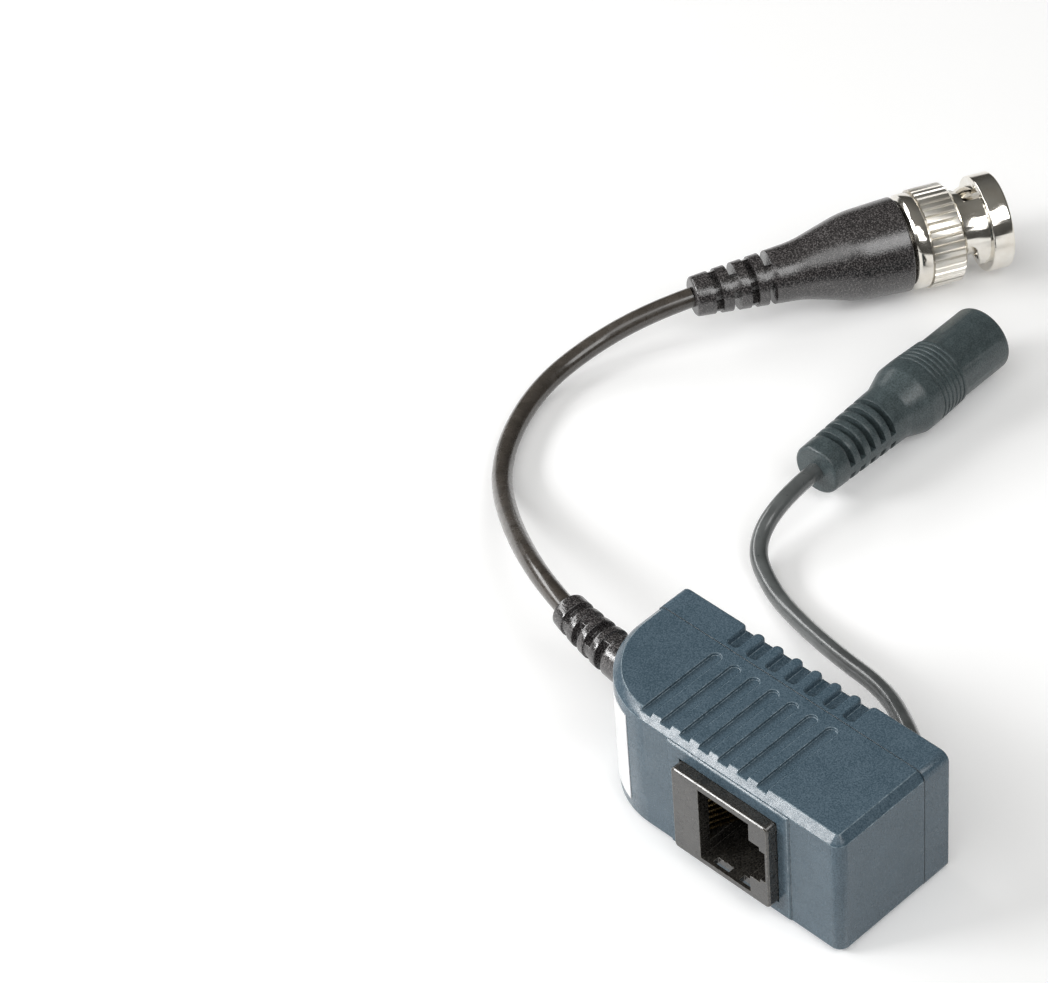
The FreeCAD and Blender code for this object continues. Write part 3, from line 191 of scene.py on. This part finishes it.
# Housing: two shells of dark blue-grey ABS, moulded with a fine satin texture, their edges a
# little paler, partly from handling and partly as a painted highlight along them. The rear cover
# snaps into the front shell, which leaves a fine seam all round, painted dark as shade in the gap.
def speckle(material, coarse, fine, share):
    """Fine grain laid over broad clouding, as one scalar; share is how much of it is grain."""
    broad = node_of(material, "ShaderNodeMath")
    broad.operation = "MULTIPLY"
    broad.inputs[1].default_value = 1 - share
    material.node_tree.links.new(grain(material, coarse, 5), broad.inputs[0])
    both = node_of(material, "ShaderNodeMath")
    both.operation = "MULTIPLY_ADD"
    both.inputs[1].default_value = share
    material.node_tree.links.new(grain(material, fine, 1), both.inputs[0])
    material.node_tree.links.new(broad.outputs["Value"], both.inputs[2])
    return both.outputs["Value"]


def band(material, way, start, end):
    """One between two distances along a direction, and nought outside them, as one scalar."""
    place = node_of(material, "ShaderNodeTexCoord")
    along = node_of(material, "ShaderNodeVectorMath")
    along.operation = "DOT_PRODUCT"
    along.inputs[1].default_value = way
    inside = node_of(material, "ShaderNodeMath")
    inside.operation = "COMPARE"
    inside.inputs[1].default_value = (start + end) / 2
    inside.inputs[2].default_value = (end - start) / 2
    material.node_tree.links.new(place.outputs["Object"], along.inputs[0])
    material.node_tree.links.new(along.outputs["Value"], inside.inputs[0])
    return inside.outputs["Value"]


joined_within, flat_within, sharp_beyond = 0.000002, math.radians(0.5), math.radians(32)


def finish_node(name, material, edge=None, steps=2, edge_wear_and_highlight=None, clamped=True):
    """Dress a solid of the frame: its material and, where given, slightly rounded edges, whose faces
    can take a paler second material that is part wear, part painted highlight.
    """
    piece = nodes[name]
    piece.data.materials.clear()
    piece.data.materials.append(material)
    if edge:
        weld = piece.modifiers.new("joined faces", "WELD")
        weld.merge_threshold = joined_within
        flats = piece.modifiers.new("whole flat faces", "DECIMATE")
        flats.decimate_type = "DISSOLVE"
        flats.angle_limit = flat_within
        rounding = piece.modifiers.new("rounded edges", "BEVEL")
        rounding.width = edge
        rounding.segments = steps
        rounding.limit_method = "ANGLE"
        rounding.angle_limit = sharp_beyond
        rounding.harden_normals = True
        rounding.use_clamp_overlap = clamped
        if edge_wear_and_highlight:
            piece.data.materials.append(edge_wear_and_highlight)
            rounding.material = 1


housing_sheen, housing_grain = 900, 5400
housing_plastic = shader("housing_plastic", (0.078, 0.122, 0.160), 0.36, specular=0.42)
tint(housing_plastic, shade_between(
    housing_plastic, speckle(housing_plastic, 260, housing_grain, 0.8), 0.36, 0.64,
    (0.038, 0.068, 0.092), (0.096, 0.140, 0.176)))
polish(housing_plastic, grain(housing_plastic, housing_sheen, 5), 0.20, 0.30)
relief(housing_plastic, grain(housing_plastic, housing_grain, 2), 0.00001, 0.6)
relief(housing_plastic, grain(housing_plastic, housing_sheen, 2), 0.00004, 0.25)

# The rounded edges at the seam between the shells are painted dark: painted shade in the gap.
seam_place, seam_width = 0.00635, 0.00044
seam_painted_shade = (0.020, 0.034, 0.045)
# Paler colour of the rounded housing edges: partly wear, partly a painted highlight along the edges.
housing_edge_wear_and_highlight = shader("housing_wear_and_highlight_edge", (0.17, 0.23, 0.27), 0.3)
wear_and_highlight_tone = shade_between(housing_edge_wear_and_highlight, speckle(housing_edge_wear_and_highlight, 500, 3000, 0.6), 0.38, 0.64,
                          (0.060, 0.098, 0.125), (0.22, 0.28, 0.32))
edge_tone_with_seam_shade = node_of(housing_edge_wear_and_highlight, "ShaderNodeMixRGB", Color2=(*seam_painted_shade, 1))
housing_edge_wear_and_highlight.node_tree.links.new(
    band(housing_edge_wear_and_highlight, (0, 1, 0), seam_place - seam_width / 2, seam_place + seam_width / 2),
    edge_tone_with_seam_shade.inputs["Fac"])
housing_edge_wear_and_highlight.node_tree.links.new(wear_and_highlight_tone, edge_tone_with_seam_shade.inputs["Color1"])
tint(housing_edge_wear_and_highlight, edge_tone_with_seam_shade.outputs["Color"])
shell_edge, cover_edge = 0.00008, 0.00009
finish_node("front_shell", housing_plastic, shell_edge, edge_wear_and_highlight=housing_edge_wear_and_highlight, clamped=False)
finish_node("rear_cover", housing_plastic, cover_edge, edge_wear_and_highlight=housing_edge_wear_and_highlight)

# Label: white coated film with an adhesive back, cut to the height of the flat band and stuck
# round the large corner. Its face is bare.
label_film = shader("label_film", (0.86, 0.87, 0.88), 0.34, coat=0.3)
tint(label_film, shade_between(label_film, grain(label_film, 300, 5), 0.3, 0.75,
                               (0.70, 0.71, 0.72), (0.80, 0.80, 0.80)))
relief(label_film, grain(label_film, 400, 3), 0.00005, 0.35)
finish_node("label", label_film)


# Network socket: black glass-filled nylon block with gilded phosphor bronze contact springs,
# soldered to the board behind the panel. Its sawn-off gates leave the face slightly rough.
socket_nylon = shader("socket_nylon", (0.020, 0.020, 0.020), 0.56, specular=1.0)
tint(socket_nylon, shade_between(
    socket_nylon, speckle(socket_nylon, 600, 4600, 0.7), 0.36, 0.64,
    (0.006, 0.0055, 0.005), (0.044, 0.041, 0.036)))
polish(socket_nylon, grain(socket_nylon, 1500, 4), 0.20, 0.30)
relief(socket_nylon, grain(socket_nylon, 4200, 3), 0.00002, 0.5)
# Paler colour of the rounded socket edges: partly wear, partly a painted highlight along them.
nylon_edge_wear_and_highlight = shader("socket_wear_and_highlight_edge", (0.09, 0.086, 0.078), 0.34, specular=0.7)
tint(nylon_edge_wear_and_highlight, shade_between(nylon_edge_wear_and_highlight, grain(nylon_edge_wear_and_highlight, 2400, 3), 0.35, 0.65,
                               (0.035, 0.033, 0.030), (0.16, 0.15, 0.13)))
socket_edge = 0.00006
finish_node("socket_housing", socket_nylon, socket_edge, edge_wear_and_highlight=nylon_edge_wear_and_highlight)

# The contact gold is painted darker than bright gold: painted shade inside the socket's mouth.
shaded_contact_gold = shader("shaded_contact_gold", (0.40, 0.29, 0.14), 0.26, metal=1.0)
polish(shaded_contact_gold, grain(shaded_contact_gold, 2500, 3), 0.16, 0.34)
relief(shaded_contact_gold, grain(shaded_contact_gold, 3000, 2, (1, 6, 1)), 0.00001, 0.4)
finish_node("socket_contacts", shaded_contact_gold)


# Circuit board: glass fibre under a green coating, in which its weave shows. It is clamped
# between the posts of the shell and the lip of the cover.
def ridges(material, scale, distortion):
    """Even ridges over the piece, as one scalar, for a weave, turns of wire or a braid."""
    place = node_of(material, "ShaderNodeTexCoord")
    wave = node_of(material, "ShaderNodeTexWave", Scale=scale, Distortion=distortion)
    material.node_tree.links.new(place.outputs["Object"], wave.inputs["Vector"])
    return wave.outputs["Fac"]


board_coating = shader("board_coating", (0.020, 0.120, 0.050), 0.3, coat=0.4)
relief(board_coating, ridges(board_coating, 900.0, 1.0), 0.00002, 0.4)
tint(board_coating, shade_between(board_coating, grain(board_coating, 500, 4), 0.35, 0.7,
                                  (0.014, 0.10, 0.040), (0.028, 0.15, 0.065)))
finish_node("circuit_board", board_coating)

# Balun: a ring of pressed and sintered ferrite, wound by hand with two windings of enamelled
# copper wire, whose ends are soldered to the board.
ferrite = shader("sintered_ferrite", (0.030, 0.029, 0.030), 0.7)
relief(ferrite, grain(ferrite, 3800, 5), 0.00005, 0.8)
tint(ferrite, shade_between(ferrite, grain(ferrite, 1500, 5), 0.35, 0.7,
                            (0.022, 0.021, 0.021), (0.05, 0.048, 0.05)))
finish_node("balun_core", ferrite)

wire_enamel = shader("wire_enamel", (0.42, 0.13, 0.04), 0.25, metal=0.6, coat=0.5)
wire_turns = ridges(wire_enamel, 700.0, 0.6)
relief(wire_enamel, wire_turns, 0.00012, 0.9)
tint(wire_enamel, shade_between(wire_enamel, wire_turns, 0.2, 0.8,
                                (0.25, 0.06, 0.02), (0.55, 0.20, 0.07)))
finish_node("balun_windings", wire_enamel)

# Surge suppressors and capacitors: the first are moulded in black epoxy, the second are dipped
# in orange resin. Both kinds are soldered flat to the board.
epoxy = shader("component_epoxy", (0.022, 0.022, 0.024), 0.5)
relief(epoxy, grain(epoxy, 5000, 3), 0.00003, 0.6)
tint(epoxy, shade_between(epoxy, grain(epoxy, 1200, 4), 0.35, 0.7,
                          (0.016, 0.016, 0.018), (0.036, 0.036, 0.038)))
suppressor_edge = 0.0001
finish_node("surge_suppressors", epoxy, suppressor_edge)

dipped_resin = shader("dipped_resin", (0.55, 0.24, 0.05), 0.28, coat=0.5)
relief(dipped_resin, grain(dipped_resin, 700, 3), 0.00012, 0.5)
tint(dipped_resin, shade_between(dipped_resin, grain(dipped_resin, 500, 4), 0.3, 0.7,
                                 (0.45, 0.18, 0.03), (0.62, 0.29, 0.07)))
finish_node("capacitors", dipped_resin)

# Cable ends: the coaxial cable's foam core and its braid, twisted to a tail, and the power
# lead's red and black cores. All are stripped, tinned and soldered to the board.
core_foam = shader("core_foam", (0.78, 0.78, 0.74), 0.5)
relief(core_foam, grain(core_foam, 1800, 4), 0.00004, 0.5)
tint(core_foam, shade_between(core_foam, grain(core_foam, 600, 4), 0.3, 0.7,
                              (0.70, 0.70, 0.66), (0.84, 0.84, 0.80)))
finish_node("coax_core", core_foam)

braid_copper = shader("braid_copper", (0.72, 0.36, 0.20), 0.3, metal=1.0)
relief(braid_copper, ridges(braid_copper, 1200.0, 3.0), 0.0001, 0.8)
polish(braid_copper, grain(braid_copper, 1500, 3), 0.22, 0.45)
finish_node("coax_braid_tail", braid_copper)

for core, dye in (("power_core_red", (0.42, 0.02, 0.015)), ("power_core_black", (0.02, 0.02, 0.02))):
    core_jacket = shader(core + "_jacket", dye, 0.35)
    relief(core_jacket, grain(core_jacket, 1500, 3), 0.00004, 0.5)
    tint(core_jacket, shade_between(core_jacket, grain(core_jacket, 700, 4), 0.3, 0.7,
                                    tuple(0.8 * c for c in dye), tuple(1.25 * c for c in dye)))
    finish_node(core, core_jacket)


# Gland and plug boot: black soft PVC moulded over the cable. Alternating slots let both bend,
# and a spark-eroded mould gives them an even coarse grain.
boot_grain, boot_edge, boot_edge_steps = 4600, 0.00015, 3
moulded_black = shader("moulded_black_pvc", (0.030, 0.028, 0.029), 0.3, specular=1.0)
tint(moulded_black, shade_between(
    moulded_black, speckle(moulded_black, 700, boot_grain, 0.85), 0.46, 0.66,
    (0.013, 0.0115, 0.012), (0.118, 0.109, 0.108)))
polish(moulded_black, speckle(moulded_black, 1400, boot_grain, 0.6), 0.16, 0.30)
relief(moulded_black, grain(moulded_black, boot_grain, 2), 0.00003, 0.7)
finish_node("coax_gland", moulded_black, boot_edge, boot_edge_steps)
finish_node("plug_boot", moulded_black, boot_edge, boot_edge_steps)

# Bayonet plug: turned brass parts with a bright nickel plate. The coupling turns on the hub and
# carries two helical slots, and rolling leaves its knurl more satin than the rest.
(last_bend_x, last_bend_y, _), (root_x, root_y, root_z) = coax_route[-2:]
plug_turn = math.atan2(root_y - last_bend_y, root_x - last_bend_x)
plug_way = Vector((math.cos(plug_turn), math.sin(plug_turn), 0))
plug_root = Vector((root_x / 1000, root_y / 1000, root_z / 1000))
knurl_from, knurl_to, knurl_satin = 0.0341, 0.0389, 0.22
contact_edge, coupling_edge = 0.00004, 0.00007
bright_nickel = shader("bright_nickel", (0.80, 0.77, 0.71), 0.15, metal=1.0)
polish(bright_nickel, grain(bright_nickel, 700, 5), 0.08, 0.16)
relief(bright_nickel, grain(bright_nickel, 2200, 3, (9, 1, 1), -plug_turn), 0.000002, 0.3)
relief(bright_nickel, grain(bright_nickel, 320, 2), 0.00003, 0.12)
tint(bright_nickel, shade_between(bright_nickel, grain(bright_nickel, 450, 4), 0.3, 0.7,
                                  (0.76, 0.72, 0.65), (0.84, 0.82, 0.77)))
finish_node("plug_hub", bright_nickel)
finish_node("plug_outer_contact", bright_nickel, contact_edge)

knurled_nickel = bright_nickel.copy()
knurled_nickel.name = "knurled_nickel"
knurl_roughness = knurled_nickel.node_tree.nodes["Principled BSDF"].inputs["Roughness"]
satin = node_of(knurled_nickel, "ShaderNodeMath")
satin.operation = "MULTIPLY_ADD"
satin.inputs[1].default_value = knurl_satin
knurl_foot = plug_root.dot(plug_way)
knurled_nickel.node_tree.links.new(
    band(knurled_nickel, plug_way, knurl_foot + knurl_from, knurl_foot + knurl_to),
    satin.inputs[0])
knurled_nickel.node_tree.links.new(knurl_roughness.links[0].from_socket, satin.inputs[2])
knurled_nickel.node_tree.links.new(satin.outputs["Value"], knurl_roughness)
finish_node("plug_coupling", knurled_nickel, coupling_edge)

# Inner parts of the plug: a dished spring washer behind the coupling, a white insulator pressed
# into the hub with a gilded pin through it, and a rubber gasket at its foot.
spring_steel = shader("spring_steel", (0.45, 0.45, 0.46), 0.3, metal=1.0)
polish(spring_steel, grain(spring_steel, 1200, 4), 0.24, 0.42)
finish_node("plug_spring_washer", spring_steel)

white_insulator = shader("white_insulator", (0.80, 0.80, 0.78), 0.4)
relief(white_insulator, grain(white_insulator, 1600, 4), 0.00003, 0.4)
tint(white_insulator, shade_between(white_insulator, grain(white_insulator, 500, 4), 0.3, 0.7,
                                    (0.74, 0.74, 0.71), (0.84, 0.84, 0.82)))
finish_node("plug_insulator", white_insulator)

pin_gold = shader("pin_gold", (0.88, 0.66, 0.30), 0.2, metal=1.0)
polish(pin_gold, grain(pin_gold, 1500, 3), 0.14, 0.30)
finish_node("plug_centre_pin", pin_gold)

gasket_rubber = shader("gasket_rubber", (0.025, 0.025, 0.025), 0.6)
relief(gasket_rubber, grain(gasket_rubber, 2500, 3), 0.00003, 0.6)
tint(gasket_rubber, shade_between(gasket_rubber, grain(gasket_rubber, 800, 4), 0.3, 0.7,
                                  (0.018, 0.018, 0.018), (0.036, 0.036, 0.036)))
finish_node("plug_gasket", gasket_rubber)


# Power socket: slate grey PVC moulded over a black insert with a centre pin and a side spring.
# The tail is slotted, the collar has fine turned ribs.
moulded_grey = shader("moulded_grey_pvc", (0.058, 0.074, 0.078), 0.44)
tint(moulded_grey, shade_between(
    moulded_grey, speckle(moulded_grey, 700, 5000, 0.75), 0.36, 0.64,
    (0.032, 0.045, 0.048), (0.078, 0.102, 0.107)))
polish(moulded_grey, grain(moulded_grey, 1400, 5), 0.29, 0.42)
relief(moulded_grey, grain(moulded_grey, 3600, 3), 0.00003, 0.5)
body_edge, insert_edge = 0.00012, 0.0001
finish_node("power_body", moulded_grey, body_edge)
finish_node("power_insert", socket_nylon, insert_edge)

socket_nickel = shader("socket_nickel", (0.76, 0.74, 0.70), 0.2, metal=1.0)
polish(socket_nickel, grain(socket_nickel, 1000, 4), 0.15, 0.3)
finish_node("power_centre_pin", socket_nickel)
finish_node("power_side_spring", socket_nickel)


# Studio: a pale seamless floor, a small softbox before the socket side, a low one at the cables'
# side, a tall one beside the plain end and a broad dim one over the camera. The room round them
# is dark, so that the bright plate of the plug shows dark and light bands.
floor_radius, floor_glow = 4, 0.16
rim = [(floor_radius * math.cos(math.radians(degree)), floor_radius * math.sin(math.radians(degree)), 0)
       for degree in range(0, 360, 5)]
floor_mesh = bpy.data.meshes.new("studio_floor")
floor_mesh.from_pydata(rim, [], [list(range(len(rim)))])
floor = bpy.data.objects.new("studio_floor", floor_mesh)
bpy.context.scene.collection.objects.link(floor)
floor_paper = shader("floor_paper", (0.90, 0.90, 0.90), 0.7, specular=0.2)
floor_surface = floor_paper.node_tree.nodes["Principled BSDF"]
floor_surface.inputs["Emission Color"].default_value = (1, 1, 1, 1)
floor_rays = node_of(floor_paper, "ShaderNodeLightPath")
seen = floor_rays.outputs["Is Camera Ray"]
for ray in ("Is Glossy Ray", "Is Transmission Ray"):
    either = node_of(floor_paper, "ShaderNodeMath")
    either.operation = "ADD"
    either.use_clamp = True
    floor_paper.node_tree.links.new(seen, either.inputs[0])
    floor_paper.node_tree.links.new(floor_rays.outputs[ray], either.inputs[1])
    seen = either.outputs["Value"]
lift = node_of(floor_paper, "ShaderNodeMath")
lift.operation = "MULTIPLY"
lift.inputs[1].default_value = floor_glow
floor_paper.node_tree.links.new(seen, lift.inputs[0])
floor_paper.node_tree.links.new(lift.outputs["Value"], floor_surface.inputs["Emission Strength"])
floor_mesh.materials.append(floor_paper)


object_middle = Vector((-0.02, 0.03, 0.01))


def soft_lamp(name, way, distance, size, power):
    """A rectangular softbox that looks at the middle of the object from a direction."""
    lamp_data = bpy.data.lights.new(name, "AREA")
    lamp_data.shape = "RECTANGLE"
    lamp_data.size, lamp_data.size_y = size
    lamp_data.energy = power
    lamp = bpy.data.objects.new(name, lamp_data)
    bpy.context.scene.collection.objects.link(lamp)
    toward = Vector(way).normalized()
    lamp.location = object_middle + toward * distance
    lamp.rotation_euler = toward.to_track_quat("Z", "Y").to_euler()


near_stand = 0.85
soft_lamp("front_softbox", (-0.52, -0.71, 0.47), near_stand, (0.30, 0.20), 4.0)
soft_lamp("left_softbox", (-0.88, -0.24, 0.46), near_stand, (0.72, 0.18), 2.7)
soft_lamp("end_softbox", (0.64, -0.04, 0.76), near_stand, (0.42, 0.48), 2.4)
soft_lamp("camera_softbox", (0.15, -0.55, 0.82), 1.20, (1.00, 0.80), 4.8)

room = bpy.data.worlds.new("studio_room")
bpy.context.scene.world = room
room.use_nodes = True
room_nodes = room.node_tree.nodes
room_links = room.node_tree.links
direction = room_nodes.new("ShaderNodeTexCoord")
split = room_nodes.new("ShaderNodeSeparateXYZ")
walls = room_nodes.new("ShaderNodeValToRGB")
walls.color_ramp.elements[0].position = 0.0
walls.color_ramp.elements[0].color = (0.80, 0.80, 0.80, 1)
walls.color_ramp.elements[1].position = 1.0
walls.color_ramp.elements[1].color = (0.22, 0.215, 0.20, 1)
for height, shade in ((0.02, 0.60), (0.05, 0.06), (0.40, 0.09), (0.80, 0.16)):
    wall = walls.color_ramp.elements.new(height)
    wall.color = (shade, shade * 0.98, shade * 0.92, 1)
room_links.new(direction.outputs["Generated"], split.inputs["Vector"])
room_links.new(split.outputs["Z"], walls.inputs["Fac"])
room_links.new(walls.outputs["Color"], room_nodes["Background"].inputs["Color"])
room_nodes["Background"].inputs["Strength"].default_value = 1.0

bpy.context.scene.view_settings.view_transform = "Standard"
